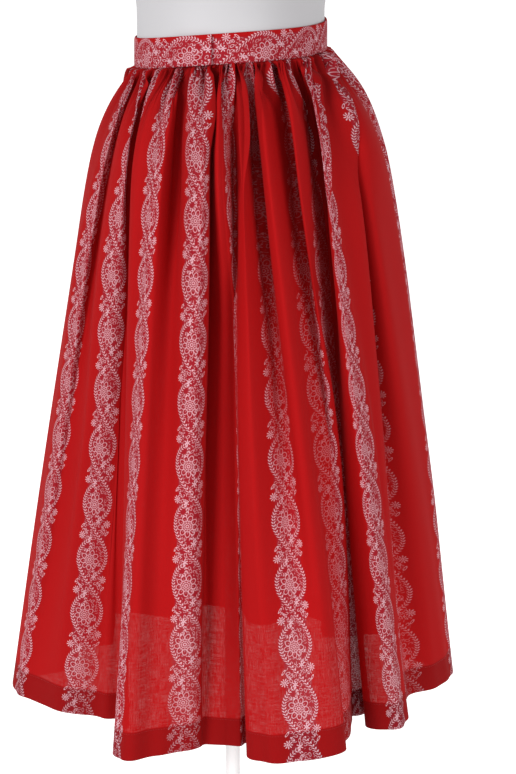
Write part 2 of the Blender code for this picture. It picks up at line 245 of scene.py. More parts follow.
# A row for each level of the dress form: height from the band's top, half sizes, how far back
# its middle is, and how square its outline is, from 2 for an ellipse.
FORM_LEVELS = table("height wide deep back power", [
    (-0.158, 0.045, 0.036, 0, 2),
    (-0.154, 0.098, 0.078, 0, 2),
    (-0.142, 0.124, 0.099, 0, 2),
    (-0.12, 0.137, 0.109, 0, 2),
    (-0.09, 0.138, 0.109, 0, 2),
    (-0.065, 0.133, 0.103, 0, 2),
    (-0.045, WAIST_WIDE, WAIST_DEEP, 0, 2),
    (0.012, WAIST_WIDE, WAIST_DEEP, 0, 2),
    (0.045, 0.13, 0.1015, 0.001, 2),
    (0.09, 0.137, 0.106, -0.001, 2.1),
    (0.135, 0.144, 0.116, -0.007, 2.1),
    (0.165, 0.148, 0.12, -0.01, 2.1),
    (0.195, 0.15, 0.12, -0.01, 2.1),
    (0.24, 0.153, 0.111, -0.003, 2.2),
    (0.29, 0.158, 0.098, 0.006, 2.4),
    (0.335, 0.17, 0.083, 0.014, 2.4),
    (0.365, 0.155, 0.074, 0.018, 2.3),
    (0.385, 0.11, 0.066, 0.02, 2.1),
    (0.4, 0.072, 0.06, 0.02, 2),
    (0.425, 0.057, 0.056, 0.017, 2),
    (0.46, 0.054, 0.054, 0.013, 2),
])


# ---- camera, floor and light ----
SIDE_VIEW = math.radians(100)
TOWARD = Vector((math.sin(SIDE_VIEW), -math.cos(SIDE_VIEW), 0.0))
ACROSS = Vector((math.cos(SIDE_VIEW), math.sin(SIDE_VIEW), 0.0))
UP = Vector((0.0, 0.0, 1.0))
FILM = 36  # mm
LENS = 124.5  # mm
CAMERA_AWAY = 2.8
CAMERA_ASIDE = 0.028
CAMERA_RISE = 0.276  # above the band
CAMERA_PITCH = math.radians(13.4)
LIGHT_AIM = Vector((0, 0, 0.75))
WORLD_STRENGTH = 0.54
FLOOR_REACH = 300.0
FLOOR_GREY = (0.9, 0.9, 0.9, 1)
FLOOR_ROUGHNESS = 0.9
FLOOR_GLOW = 0.64
WHITE = (1, 1, 1, 1)
BLACK = (0, 0, 0, 1)

Light = namedtuple("Light", "name toward across up size power")
LIGHTS = [
    Light("key", 3.6, -3.2, 2.3, 2.2, 200),
    Light("fill", 3.2, 3.2, 1.2, 2.4, 94),
]


def put(name, data):
    """A new object in the scene."""
    made = bpy.data.objects.new(name, data)
    bpy.context.scene.collection.objects.link(made)
    return made


def place_camera():
    data = bpy.data.cameras.new("camera")
    data.sensor_width = FILM
    data.lens = LENS
    data.clip_end = 2 * FLOOR_REACH
    camera = put("camera", data)
    rise = UP * (WAIST_HEIGHT + CAMERA_RISE)
    camera.location = TOWARD * CAMERA_AWAY + ACROSS * CAMERA_ASIDE + rise
    gaze = -TOWARD * math.cos(CAMERA_PITCH) - UP * math.sin(CAMERA_PITCH)
    camera.rotation_euler = gaze.to_track_quat("-Z", "Y").to_euler()
    bpy.context.scene.camera = camera


def light_studio():
    for row in LIGHTS:
        data = bpy.data.lights.new(row.name, "AREA")
        data.shape = "RECTANGLE"
        data.size = row.size
        data.size_y = row.size
        data.energy = row.power
        light = put(row.name, data)
        light.location = TOWARD * row.toward + ACROSS * row.across + UP * row.up
        gaze = LIGHT_AIM - light.location
        light.rotation_euler = gaze.to_track_quat("-Z", "Y").to_euler()
    world = bpy.data.worlds.new("studio")
    bpy.context.scene.world = world
    world.use_nodes = True
    background = world.node_tree.nodes["Background"].inputs
    background["Color"].default_value = WHITE
    background["Strength"].default_value = WORLD_STRENGTH


def lay_floor():
    mesh = bpy.data.meshes.new("floor")
    corners = [(x, y, 0) for x, y in ((-1, -1), (1, -1), (1, 1), (-1, 1))]
    mesh.from_pydata([Vector(corner) * FLOOR_REACH for corner in corners], [], [(0, 1, 2, 3)])
    floor = put("floor", mesh)
    finish = bpy.data.materials.new("pale_floor")
    finish.use_nodes = True
    surface = finish.node_tree.nodes["Principled BSDF"].inputs
    surface["Base Color"].default_value = FLOOR_GREY
    surface["Roughness"].default_value = FLOOR_ROUGHNESS
    surface["Emission Color"].default_value = WHITE
    surface["Emission Strength"].default_value = FLOOR_GLOW
    mesh.materials.append(finish)
    floor.visible_diffuse = False


# ---- the plan of the cloth, as in the solids ----
WAIST_STEPS = 2001
OVAL_STEPS = 721
FORM_DROP = 0.25  # down to which the cloth may meet the form


def curved(first, leaving, second, arriving, step, s):
    """A smooth curve from a value to the next, leaving and arriving at given slopes."""
    return (
        first * (1 + 2 * s) * (1 - s) ** 2
        + leaving * step * s * (1 - s) ** 2
        + second * s * s * (3 - 2 * s)
        + arriving * step * s * s * (s - 1)
    )


def through(places, values, where):
    """Smooth closed interpolation of rows of values at rising places round the cloth."""
    steps = np.diff(np.append(places, places[0] + CLOTH_ROUND))
    slopes = (np.roll(values, -1, axis=0) - values) / steps[:, None]
    before = np.roll(steps, 1)[:, None]
    after = steps[:, None]
    tangents = (np.roll(slopes, 1, axis=0) * after + slopes * before) / (before + after)
    where = (where - places[0]) % CLOTH_ROUND + places[0]
    row = np.searchsorted(places, where, side="right") - 1
    following = (row + 1) % len(places)
    step = steps[row][:, None]
    s = (where - places[row])[:, None] / step
    return curved(values[row], tangents[row], values[following], tangents[following], step, s)


def monotone(places, values, where):
    """Smooth interpolation that never overshoots the values it passes through."""
    steps = np.diff(places)
    slopes = np.diff(values) / steps
    same = slopes[1:] * slopes[:-1] > 0
    total = np.where(same, slopes[1:] + slopes[:-1], 1)
    inner = np.where(same, 2 * slopes[1:] * slopes[:-1] / total, 0)
    tangents = np.concatenate([[slopes[0]], inner, [slopes[-1]]])
    row = np.clip(np.searchsorted(places, where, side="right") - 1, 0, len(steps) - 1)
    step = steps[row]
    s = (where - places[row]) / step
    return curved(values[row], tangents[row], values[row + 1], tangents[row + 1], step, s)


def polar(bearings, reaches, widen):
    angles = np.radians(bearings)
    return np.column_stack([widen * reaches * np.cos(angles), reaches * np.sin(angles)])


def waist_share(cloth):
    """How far round the waist the gathers bring a place on the cloth, 0 to 1."""
    fine = np.linspace(-0.5, 0.5, WAIST_STEPS) * CLOTH_ROUND
    spread = 1 - SIDE_GATHER * np.cos(2 * math.pi * fine / CLOTH_ROUND)
    spread += FLAT_STRETCH * np.exp(-(((fine - FLAT_PLACE) / FLAT_REACH) ** 2))
    total = np.concatenate([[0], np.cumsum((spread[1:] + spread[:-1]) / 2)])
    total = (total - np.interp(0, fine, total)) / total[-1]
    turns = np.round(cloth / CLOTH_ROUND)
    return CLOSING_SHARE + turns + np.interp(cloth - turns * CLOTH_ROUND, fine, total)


def oval(wide, deep, share):
    """Points of an ellipse at a share of its length from the left side."""
    angles = np.linspace(0, 2 * math.pi, OVAL_STEPS)
    steps = np.hypot(np.diff(wide * np.cos(angles)), np.diff(deep * np.sin(angles)))
    lengths = np.concatenate([[0], np.cumsum(steps)]) / steps.sum()
    angle = np.interp(share % 1.0, lengths, angles)
    return np.column_stack([wide * np.cos(angle), deep * np.sin(angle)])


def form_reach(height, bearing):
    """Reach of the form below its waist, at heights from the band's top and bearings."""
    heights, wides, deeps = np.array([level[:3] for level in FORM_LEVELS]).T
    height = np.clip(height, heights[0], heights[-1])
    wide = monotone(heights, wides, height)
    deep = monotone(heights, deeps, height)
    return 1 / np.hypot(np.cos(bearing) / wide, np.sin(bearing) / deep)


def skirt_plan(cloth):
    """The three outlines that the skirt is lofted from, for places on the cloth."""
    places, hip_bearings, hip_reaches, hem_bearings, hem_reaches = np.array(TURNS).T
    hip = through(places, polar(hip_bearings, hip_reaches, HIP_WIDEN), cloth)
    hem = through(places, polar(hem_bearings, hem_reaches, HEM_WIDEN), cloth)
    edge = BAND_WALL + FORM_GAP
    waist = oval(WAIST_WIDE + edge, WAIST_DEEP + edge, waist_share(cloth))
    return waist, hip, hem


def waist_rise(plan):
    """Height of the waist's tilt and dip at points of its plan."""
    dip = WAIST_DIP * (1 - (plan[:, 0] / (WAIST_WIDE + BAND_WALL)) ** 2)
    return math.tan(WAIST_TILT) * plan[:, 1] - dip


def skirt_surface(plans, drop):
    """Points of the folded skirt at one drop, for the outlines at places on the cloth."""
    waist, hip, hem = plans
    flare = (hem - hip) / (1 - HIP_DROP)
    top = hip - flare * HIP_DROP
    plan = top + flare * drop + (waist - top) * math.exp(-drop / SPRING)
    seam_height = WAIST_HEIGHT - BAND_HEIGHT - GAP + waist_rise(waist)
    hem_height = WAIST_HEIGHT - BAND_HEIGHT - SKIRT_DROP + math.tan(HEM_TILT) * hem[:, 1]
    height = seam_height + (hem_height - seam_height) * drop
    bearing = np.arctan2(plan[:, 1], plan[:, 0])
    reach = np.hypot(plan[:, 0], plan[:, 1])
    if 0 < drop < FORM_DROP:
        least = form_reach(height - WAIST_HEIGHT, bearing) + REST_CLEARANCE
        settled = least + REST_SOFTNESS * np.logaddexp(0, (reach - least) / REST_SOFTNESS)
        plan = plan * (settled / reach)[:, None]
    return np.column_stack([plan, height])


# ---- what is finer than the solids ----
def smooth_step(low, high, value):
    share = np.clip((value - low) / (high - low), 0, 1)
    return share * share * (3 - 2 * share)


def wrapped(difference):
    """A difference of places on the cloth, taken the short way round."""
    return (difference + CLOTH_ROUND / 2) % CLOTH_ROUND - CLOTH_ROUND / 2


# A row for each kind of tuck in the gathers: small ones under the band, then fewer, longer ones.
TIERS = table("spacing_mm width_mm depth_mm length_mm", [
    (13, 3.2, 12.5, 19),
    (25, 7.5, 19, 26),
    (60, 10, 15, 55),
])
TUCK_ASIDE = 0.33  # how far a tuck may be from its even place, in spacings
TUCK_WIDTHS = (0.75, 1.3)  # least and most, in the tier's own width, depth and length
TUCK_DEPTHS = (0.5, 1.4)
TUCK_LENGTHS = (0.5, 1.7)
TUCK_LEAN = 0.07
TUCK_FADE = 1.6  # how suddenly a tuck ends
TUCK_FAINT = 0.004  # a tuck that is fainter is left out
TUCK_WIDENS = 0.06  # a tuck is twice as wide this far down
SQUEEZE = 0.25  # how strongly the cloth is drawn together in a tuck
EASE = 2.2  # how much wider than the tuck is the stretch that this draws from
GROOVE = 1.8  # how steep the sides of a tuck are
GROOVE_ROUND = 0.02
TUCK_SHADE_FADE = 1.3  # how quickly the painted shade in a tuck fades sideways
TUCK_SHADE_DEPTH = 0.019  # of a tuck whose painted shade is full
SEWN_FLAT = 0.55  # how much flatter the gathers are at the seam, and how soon they open
SEWN_REACH = 0.003
PUFF = 0.0072  # how far the gathers stand out under the band, how far down, and how suddenly
PUFF_REACH = 0.055
PUFF_FADE = 1.4

CREASE_STARTS = (-0.25, 0.12)  # shares of a crease's length in which it starts and ends
CREASE_ENDS = (0.45, 1.0)
CREASE_DRAW = 3

HOLLOW_COLUMNS = 26  # how far to look for the crest beside a hollow, in columns of points
HOLLOW_LEAST = 0.007
HOLLOW_MOST = 0.024

NEAR = 0.0015  # step along the cloth that shows which way it runs
CLOTH_CLEAR = 0.0007  # between the cloth and the form, at the least

WAVES = 16
WAVES_ROUND = (22, 74)  # least and most crests round the skirt
WAVE_LEAN = 2.2
WAVE_HEIGHT = 0.00050
WAVE_HEIGHTS = (0.4, 1.2)
WAVE_BEND = 0.7
WAVE_TURN = 3.1
WAVE_STARTS = (0.03, 0.3)


def draw_tucks(draw):
    """Places, widths, depths, lengths and leans of the gathers, uneven round the waist."""
    tucks = []
    for tier in TIERS:
        count = round(CLOTH_ROUND / tier.spacing)
        aside = draw.uniform(-TUCK_ASIDE, TUCK_ASIDE, count)
        tucks.append(np.column_stack([
            (np.arange(count) + aside) * CLOTH_ROUND / count,
            tier.width * draw.uniform(*TUCK_WIDTHS, count),
            tier.depth * draw.uniform(*TUCK_DEPTHS, count),
            tier.length * draw.uniform(*TUCK_LENGTHS, count),
            draw.uniform(-TUCK_LEAN, TUCK_LEAN, count),
        ]))
    return np.concatenate(tucks)


def gathered(tucks, cloth, below):
    """How the gathers slide and push out the cloth, and the shade painted into their tucks, one
    length below the band.
    """
    below = max(below, 0.0)
    slide = np.zeros(len(cloth))
    push = np.zeros(len(cloth))
    tuck_shade = np.zeros(len(cloth))
    for place, width, depth, length, lean in tucks:
        fade = math.exp(-((below / length) ** TUCK_FADE))
        if fade < TUCK_FAINT:
            continue
        wide = width * (1 + below / TUCK_WIDENS)
        offset = wrapped(cloth - place - lean * below) / wide
        slide -= SQUEEZE * fade * wide * (np.tanh(offset) - np.tanh(offset / EASE))
        push -= depth * fade * np.exp(-GROOVE * np.sqrt(offset**2 + GROOVE_ROUND))
        # Painted shade, darker in deeper tucks and fading sideways.
        shade = min(depth / TUCK_SHADE_DEPTH, 1.0) * fade * np.exp(-TUCK_SHADE_FADE * offset**2)
        tuck_shade = np.maximum(tuck_shade, shade)
    opening = 1 - SEWN_FLAT * math.exp(-below / SEWN_REACH)
    puff = PUFF * opening * math.exp(-((below / PUFF_REACH) ** PUFF_FADE))
    return slide, push * opening + puff, tuck_shade


def strength(row, cloth, drop):
    """How strongly a row of SHIFTS or SWINGS acts at places on the cloth, at one drop."""
    fade = smooth_step(row.start, row.full, drop) * (1 - smooth_step(row.full, row.end, drop))
    return fade * np.exp(-(wrapped(cloth - row.cloth) / row.width) ** 2)


def swung(points, cloth, drop):
    """Points of the cloth at one drop, moved outwards and aside where a fold swings."""
    away = points[:, :2] / np.hypot(points[:, 0], points[:, 1])[:, None]
    along = np.column_stack([-away[:, 1], away[:, 0]])
    moved = points.copy()
    for swing in SWINGS:
        share = strength(swing, cloth, drop)[:, None]
        moved[:, :2] += share * (swing.out * away + swing.aside * along)
    return moved


def creased(cloth, drop):
    """How the creases slide the cloth sideways and push it out, at one drop."""
    slide = np.zeros(len(cloth))
    push = np.zeros(len(cloth))
    for shift in SHIFTS:
        slide += shift.slide * strength(shift, cloth, drop)
    for crease in CREASES:
        share = (drop - crease.start) / (crease.end - crease.start)
        if not CREASE_STARTS[0] < share < CREASE_ENDS[1]:
            continue
        offset = wrapped(cloth - crease.cloth - crease.lean * share) / crease.width
        fade = smooth_step(*CREASE_STARTS, share) * (1 - smooth_step(*CREASE_ENDS, share))
        push += crease.push * fade * np.exp(-offset * offset)
        slide -= CREASE_DRAW * crease.draw * fade * (np.tanh(offset) - np.tanh(offset / EASE))
    return slide, push


def hollows(points):
    """How deep each point of a width lies between the folds, from 0 on a crest to 1."""
    reach = np.hypot(points[..., 0], points[..., 1])
    crest = reach.copy()
    for step in range(1, HOLLOW_COLUMNS):
        crest[:, step:] = np.maximum(crest[:, step:], reach[:, :-step])
        crest[:, :-step] = np.maximum(crest[:, :-step], reach[:, step:])
    return smooth_step(HOLLOW_LEAST, HOLLOW_MOST, crest - reach)


def draw_waves(draw):
    """Long soft waves of the hanging cloth: how many round it, phase, lean and height."""
    return np.column_stack([
        draw.integers(*WAVES_ROUND, WAVES),
        draw.uniform(0, 2 * math.pi, WAVES),
        draw.uniform(-WAVE_LEAN, WAVE_LEAN, WAVES),
        WAVE_HEIGHT * draw.uniform(*WAVE_HEIGHTS, WAVES),
    ])


def wave_push(waves, cloth, drop):
    """How far the waves push the cloth out, at one drop."""
    push = np.zeros(len(cloth))
    for count, phase, lean, height in waves:
        angle = 2 * math.pi * count * cloth / CLOTH_ROUND + phase + lean * 2 * drop
        push += height * np.sin(angle + WAVE_BEND * np.sin(WAVE_TURN * drop + phase))
    return push * smooth_step(*WAVE_STARTS, drop)


def off_form(points):
    """Points of the cloth, moved out where they would sink into the form."""
    bearing = np.arctan2(points[:, 1], points[:, 0])
    reach = np.hypot(points[:, 0], points[:, 1])
    least = form_reach(points[:, 2] - WAIST_HEIGHT, bearing) + CLOTH_CLEAR
    grown = np.maximum(reach, least) / reach
    return points * np.column_stack([grown, grown, np.ones(len(points))])


# Rows of points down the cloth. Those in the band's fold: how far below its edge, and inset.
BAND_FOLD = ((-0.0014, 0.0014), (-0.0002, 0.0012))
ROW_STRETCHES = ((0, 0.012, 0.0015), (0.012, 0.06, 0.003), (0.06, 0.15, 0.0045))
LAST_STRETCH = (0.15, SLANT - 0.0005, 36)
HEM_ROUND = np.radians(np.linspace(0, 180, 7))
HEM_INSIDE = np.linspace(0.12, 1, 6)
# The hem's inner edge, tucked under: how far above the hem, and inset in TURN_RADIUS.
HEM_TUCK = ((HEM_DEPTH + 0.0004, 1.4), (0.8 * HEM_DEPTH, 1))

# Columns of points along the cloth. Those at a seam: how far inside it, and inset in
# TURN_RADIUS. The front's edges are turned in, and the back's run on under them.
COLUMNS = 940
ALLOWANCE = SEAM_ALLOWANCE * np.array([0.3, 0.65, 1.0])
FRONT_FOLD = [(0.0001, 0.5), (TURN_RADIUS, 1.2), *((place, 1.6) for place in ALLOWANCE)]
BACK_FOLD = [(-TURN_RADIUS, 3), *((-place, 3.2) for place in ALLOWANCE)]


def skirt_rows():
    """Drops and insets of the rows of points: in the band's fold, down and up inside the hem."""
    below = np.concatenate(
        [*(np.arange(*stretch) for stretch in ROW_STRETCHES), np.linspace(*LAST_STRETCH)]
    )
    rows = [(length / SLANT, inset) for length, inset in BAND_FOLD]
    rows += [(length / SLANT, 0.0) for length in below]
    for angle in HEM_ROUND:
        turn = TURN_RADIUS * math.sin(angle)
        rows.append((1 + turn / SLANT, TURN_RADIUS * (1 - math.cos(angle))))
    rows += [(1 - share * HEM_DEPTH / SLANT, 2 * TURN_RADIUS) for share in HEM_INSIDE]
    return rows + [(1 - length / SLANT, inset * TURN_RADIUS) for length, inset in HEM_TUCK]


def skirt_columns(first, last):
    """Places and insets of the columns of points, with the allowance of the side seams."""
    fold = FRONT_FOLD if first > 0 else BACK_FOLD
    places = np.linspace(first + SEAM_GAP, last - SEAM_GAP, COLUMNS)
    before = [(first + place, TURN_RADIUS * inset) for place, inset in fold[::-1]]
    after = [(last - place, TURN_RADIUS * inset) for place, inset in fold]
    return before + [(place, 0.0) for place in places] + after


def slit_push(cloth, below, first):
    """How far the two edges of the slit part: the front one lifts, the back one sinks."""
    if not 0 < below < SLIT_LENGTH:
        return 0.0
    part = smooth_step(0, SLIT_OPEN, below)
    part *= 1 - smooth_step(SLIT_LENGTH * SLIT_CLOSES, SLIT_LENGTH, below)
    if first == 0.0:
        return -SLIT_SINK * part * np.exp(-((cloth / SLIT_REACH[1]) ** 2))
    return SLIT_LIFT * part * np.exp(-(((cloth - CLOTH_ROUND) / SLIT_REACH[0]) ** 2))


def skirt_grid(first, last, tucks, waves):
    """Points of one width of the skirt, their places on the flat cloth, and the shade painted into
    their tucks.
    """
    cloth, insets = np.array(skirt_columns(first, last)).T
    points = []
    flat = []
    tuck_shades = []
    for drop, row_inset in skirt_rows():
        below = drop * SLANT
        slide, push, tuck_shade = gathered(tucks, cloth, below)
        slide, push = np.add((slide, push), creased(cloth, drop))
        here, ahead, behind = (
            swung(skirt_surface(skirt_plan(cloth + slide + near), drop), cloth + near, drop)
            for near in (0.0, NEAR, -NEAR)
        )
        way = (ahead - behind)[:, :2]
        way /= np.linalg.norm(way, axis=1)[:, None]
        outward = np.column_stack([way[:, 1], -way[:, 0], np.zeros(len(cloth))])
        push += wave_push(waves, cloth, drop) + slit_push(cloth, below, first)
        push -= insets + row_inset
        points.append(off_form(here + outward * push[:, None]))
        flat.append(np.column_stack([cloth, np.full(len(cloth), below)]))
        tuck_shades.append(tuck_shade)
    return np.array(points), np.array(flat), np.array(tuck_shades)


# ---- meshes ----
def grid_mesh(name, points, flat):
    """A sheet through a grid of points, with their places on the flat cloth as its UV map."""
    rows, columns = points.shape[:2]
    row, column = np.meshgrid(np.arange(rows - 1), np.arange(columns - 1), indexing="ij")
    corner = (row * columns + column).ravel()
    faces = np.column_stack([corner, corner + columns, corner + columns + 1, corner + 1])
    mesh = bpy.data.meshes.new(name)
    mesh.from_pydata(points.reshape(-1, 3).tolist(), [], faces.tolist())
    layer = mesh.uv_layers.new(name="cloth")
    layer.data.foreach_set("uv", flat.reshape(-1, 2)[faces.ravel()].astype(np.float32).ravel())
    return mesh


def add_piece(name, mesh, finish, node):
    """A finished piece, which takes the place of its node of the solids."""
    piece = put(name, mesh)
    mesh.materials.append(finish)
    mesh.shade_smooth()
    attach(piece, "root")
    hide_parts(node)
    return piece


# ---- shader maths ----
def maths(operation):
    """A method that adds one Math node to a shader."""
    return lambda socket, *others: socket.maker.node(
        "ShaderNodeMath", {"operation": operation}, dict(enumerate((socket, *others)))
    )


class Socket:
    """A shader socket on which Python's arithmetic adds Math nodes."""

    def __init__(self, maker, link):
        self.maker = maker
        self.link = link

    __add__ = __radd__ = maths("ADD")
    __sub__ = maths("SUBTRACT")
    __mul__ = __rmul__ = maths("MULTIPLY")
    __truediv__ = maths("DIVIDE")
    __pow__ = maths("POWER")
    __abs__ = maths("ABSOLUTE")
    least = maths("MINIMUM")
    most = maths("MAXIMUM")
    under = maths("LESS_THAN")
    sign = maths("SIGN")
    fraction = maths("FRACT")
    sin = maths("SINE")
    cos = maths("COSINE")
    arctan = maths("ARCTAN2")

    def __rsub__(self, other):
        return self * -1.0 + other

    def repeat(self, length):
        """The place within repeats of a length, from minus half of it to half of it."""
        return ((self / length + 0.5).fraction() - 0.5) * length

    def soft_under(self, edge, blur):
        """1 where this is under the edge, 0 over it, with a soft change between."""
        ramp = {"interpolation_type": "SMOOTHSTEP"}
        ends = {"From Min": edge - blur, "From Max": edge + blur, "To Min": 1.0, "To Max": 0.0}
        return self.maker.node("ShaderNodeMapRange", ramp, {"Value": self, **ends})


class Nodes:
    """Makes and links the nodes of one tree."""

    def __init__(self, tree):
        self.tree = tree

    def node(self, kind, settings=None, values=None, out=0):
        made = self.tree.nodes.new(kind)
        for name, setting in (settings or {}).items():
            setattr(made, name, setting)
        self.feed(made, values or {})
        if out is None:
            return made
        return Socket(self, made.outputs[out])

    def feed(self, made, values):
        for name, value in values.items():
            socket = made.inputs[name]
            if isinstance(value, Socket):
                self.tree.links.new(value.link, socket)
            else:
                socket.default_value = value


class Shader(Nodes):
    """Makes the nodes of one material."""

    def __init__(self, name):
        self.material = bpy.data.materials.new(name)
        self.material.use_nodes = True
        super().__init__(self.material.node_tree)
        self.surface = self.tree.nodes["Principled BSDF"]
        self.output = self.tree.nodes["Material Output"]

    def mix(self, share, first, second):
        """A colour between two, as the share goes from 0 to 1."""
        values = {"Factor": share, 6: first, 7: second}
        return self.node("ShaderNodeMix", {"data_type": "RGBA"}, values, out=2)

    def layer(self, share, first, second):
        """A finish between two, as the share goes from 0 to 1."""
        return self.node("ShaderNodeMixShader", values={0: share, 1: first, 2: second})

    def attribute(self, name):
        return self.node("ShaderNodeAttribute", {"attribute_name": name}, out=2)

    def object_place(self):
        return Socket(self, self.node("ShaderNodeTexCoord", out=None).outputs["Object"])

    def split(self, vector):
        made = self.node("ShaderNodeSeparateXYZ", values={0: vector}, out=None)
        return [Socket(self, socket) for socket in made.outputs]

    def join(self, x, y, z=0.0):
        return self.node("ShaderNodeCombineXYZ", values={0: x, 1: y, 2: z})

    def noise(self, place, scale, detail=2.0, rough=0.5):
        values = {"Vector": place, "Scale": scale, "Detail": detail, "Roughness": rough}
        return self.node("ShaderNodeTexNoise", values=values)

    def bump(self, height, distance, strength=1.0):
        values = {"Height": height, "Distance": distance, "Strength": strength}
        return self.node("ShaderNodeBump", values=values)


# ---- the print, in millimetres: leafy stems, flowers, buds and small leaves ----
# Each stem is a long S: it starts with a hook inside one oval, runs down the oval's left side,
# crosses over and ends with a hook inside the next one. Half a turn about the middle of an
# oval brings the print on itself, all but the flower, so both sides share their drawing.
VINE_REPEAT = 63.0
STEM_SWING = 17.4
ROUND_END = 20.5  # half height of an oval's round end
ROUND_REACH = 18.5  # its mean radius, across and along the stem
ARC_REACH = 19.0
LEAF_SPACING = VINE_REPEAT / 20
LEAF_SLANT = 0.85
PETALS = 9
BEADS = 11
HOOK = (8.2, -13.2, 5.6)  # middle and radius of a stem's hooked end
FLOWER = (-2.6, 2.8)  # its middle
FLOWER_REACH = 11.9
FLOWER_ROOM = 12.1
BUDS = ((15.4, 6.6, 9, 4.6), (4.4, 9.6, 6, 3.4))  # middle, spikes and size of each
LOOPS = ((16.0, -4.0, 2.6, 0.6), (11.0, 1.6, 2.4, -0.7))  # middle, size and lean of each
BUD_ROOM = 4.8
FILLER_SPACING = 4.7


def ring_shape(distance, radius, half_line, blur=0.12):
    return abs(distance - radius).soft_under(half_line, blur)


def length_of(x, y):
    return (x * x + y * y) ** 0.5


def leaf_pairs(across, along, reach=2.6):
    """Pairs of small slanted leaves along a stem."""
    side = abs(across)
    slant = ((along + side * LEAF_SLANT) / LEAF_SPACING).fraction() - 0.5
    taper = 1 - (side / reach) ** 2.0
    leaf = abs(slant).soft_under(taper * 0.28, 0.08) * side.soft_under(reach, 0.25)
    return leaf * (1 - side.soft_under(0.30, 0.15))


def flower(across, along):
    """A flower with outlined petals round a ring of beads, and the distance to its middle."""
    reach = length_of(across, along)
    angle = across.arctan(along)
    petal_side = angle.repeat(2 * math.pi / PETALS) * reach
    petal = length_of(petal_side / 2.9, (reach - 8.4) / 3.5)
    petals = ring_shape(petal, 0.88, 0.13, 0.08)
    veins = abs(petal_side).soft_under(0.28, 0.12) * abs(reach - 7.0).soft_under(1.3, 0.3) * 0.6
    bead_side = angle.repeat(2 * math.pi / BEADS) * reach
    beads = length_of(bead_side, reach - 3.6).soft_under(0.78, 0.15)
    heart = ring_shape(reach, 1.5, 0.55).most(beads)
    return petals.most(veins).most(heart), reach


def bud(across, along, spikes, size):
    """A round bud of short strokes."""
    reach = length_of(across, along)
    stroke_side = across.arctan(along).repeat(2 * math.pi / spikes) * reach
    strokes = abs(stroke_side).soft_under(0.48, 0.12)
    strokes = strokes * abs(reach - size * 0.68).soft_under(1.2, 0.2)
    return strokes.most(ring_shape(reach, size * 0.22, 0.42))


def loop_leaf(across, along, size, lean):
    """One outlined leaf."""
    slid = across - along * lean
    leaf = length_of(slid / (size * 0.5), along / size)
    return ring_shape(leaf, 0.80, 0.20, 0.08)


def small_leaves(shader, across, along, spacing):
    """Small outlined leaves close together, turned all ways."""
    values = {"Vector": shader.join(across, along), "Scale": 1 / spacing, "Randomness": 0.55}
    cells = shader.node("ShaderNodeTexVoronoi", {"voronoi_dimensions": "2D"}, values, out=None)
    middle_x, middle_y, _ = shader.split(Socket(shader, cells.outputs["Position"]))
    chance, _, _ = shader.split(Socket(shader, cells.outputs["Color"]))
    x = across - middle_x
    y = along - middle_y
    turn = chance * 2 * math.pi
    long_way = (x * turn.cos() + y * turn.sin()) / (spacing * 0.56)
    short_way = (y * turn.cos() - x * turn.sin()) / (spacing * 0.34)
    return ring_shape(length_of(long_way, short_way), 0.76, 0.16, 0.12)


def stem_place(side, lean):
    """How far a place is off the stem, on the outside of it, and how far along."""
    round_part = lean.under(0.0)
    round_off = (length_of(side / STEM_SWING, lean / ROUND_END) - 1) * ROUND_REACH
    slope = (lean * (math.pi / VINE_REPEAT)).cos()
    long_off = (side - slope * STEM_SWING) * (1 + (1 - slope * slope) * 0.75) ** -0.5
    off = long_off + (round_off - long_off) * round_part
    arc = lean.arctan(side) * ARC_REACH
    return off, lean + (arc - lean) * round_part, round_part


def vine_stripe(shader, across, along):
    """The print at a place: its lines, and where the ground under them is tinted."""
    fold = along.repeat(VINE_REPEAT)
    turned_over = across.sign() * -1.0
    side = abs(across)
    lean = fold * turned_over
    off, run, round_part = stem_place(side, lean)
    drawn = 1 - lean.under(-8.0) * side.under(4.0)
    stems = leaf_pairs(off, run * turned_over) * drawn.most(1 - round_part)
    hook_side = side - HOOK[0]
    hook_lean = lean - HOOK[1]
    hook_reach = length_of(hook_side, hook_lean)
    hook_run = hook_lean.arctan(hook_side) * HOOK[2]
    hook = leaf_pairs(hook_reach - HOOK[2], hook_run, 2.0)
    hook = hook * (hook_side - hook_lean * 0.3).under(0.6)
    blossom, reach = flower(across - FLOWER[0], fold - FLOWER[1])
    blossom = blossom * reach.soft_under(FLOWER_REACH, 0.3) * 0.8
    end_lean = (lean + VINE_REPEAT / 2).repeat(VINE_REPEAT)
    sprigs = [bud(side - out, end_lean - on, *shape) for out, on, *shape in BUDS]
    sprigs += [loop_leaf(side - out, end_lean - on, *shape) for out, on, *shape in LOOPS]
    bud_room = length_of(side - BUDS[0][0], end_lean - BUDS[0][1]).soft_under(BUD_ROOM, 0.3)
    inside = off.soft_under(-2.6, 0.4) * (1 - reach.soft_under(FLOWER_ROOM, 0.3))
    inside = inside * (1 - hook_reach.soft_under(3.4, 0.3))
    outside = (1 - off.soft_under(3.2, 0.4)) * side.soft_under(16.0 - abs(end_lean) * 0.25, 0.6)
    filler = small_leaves(shader, across, along, FILLER_SPACING) * inside.most(outside)
    gaps = shader.noise(shader.join(across, along), 0.20, 1.0).soft_under(0.56, 0.05)
    filler = filler * (1 - bud_room) * gaps * (0.50 + abs(fold) * 0.012)
    lines = stems
    for part in (hook, blossom, filler, *sprigs):
        lines = lines.most(part)
    ground = off.soft_under(2.4, 0.8).most(side.soft_under(15.0, 0.8))
    return lines, ground


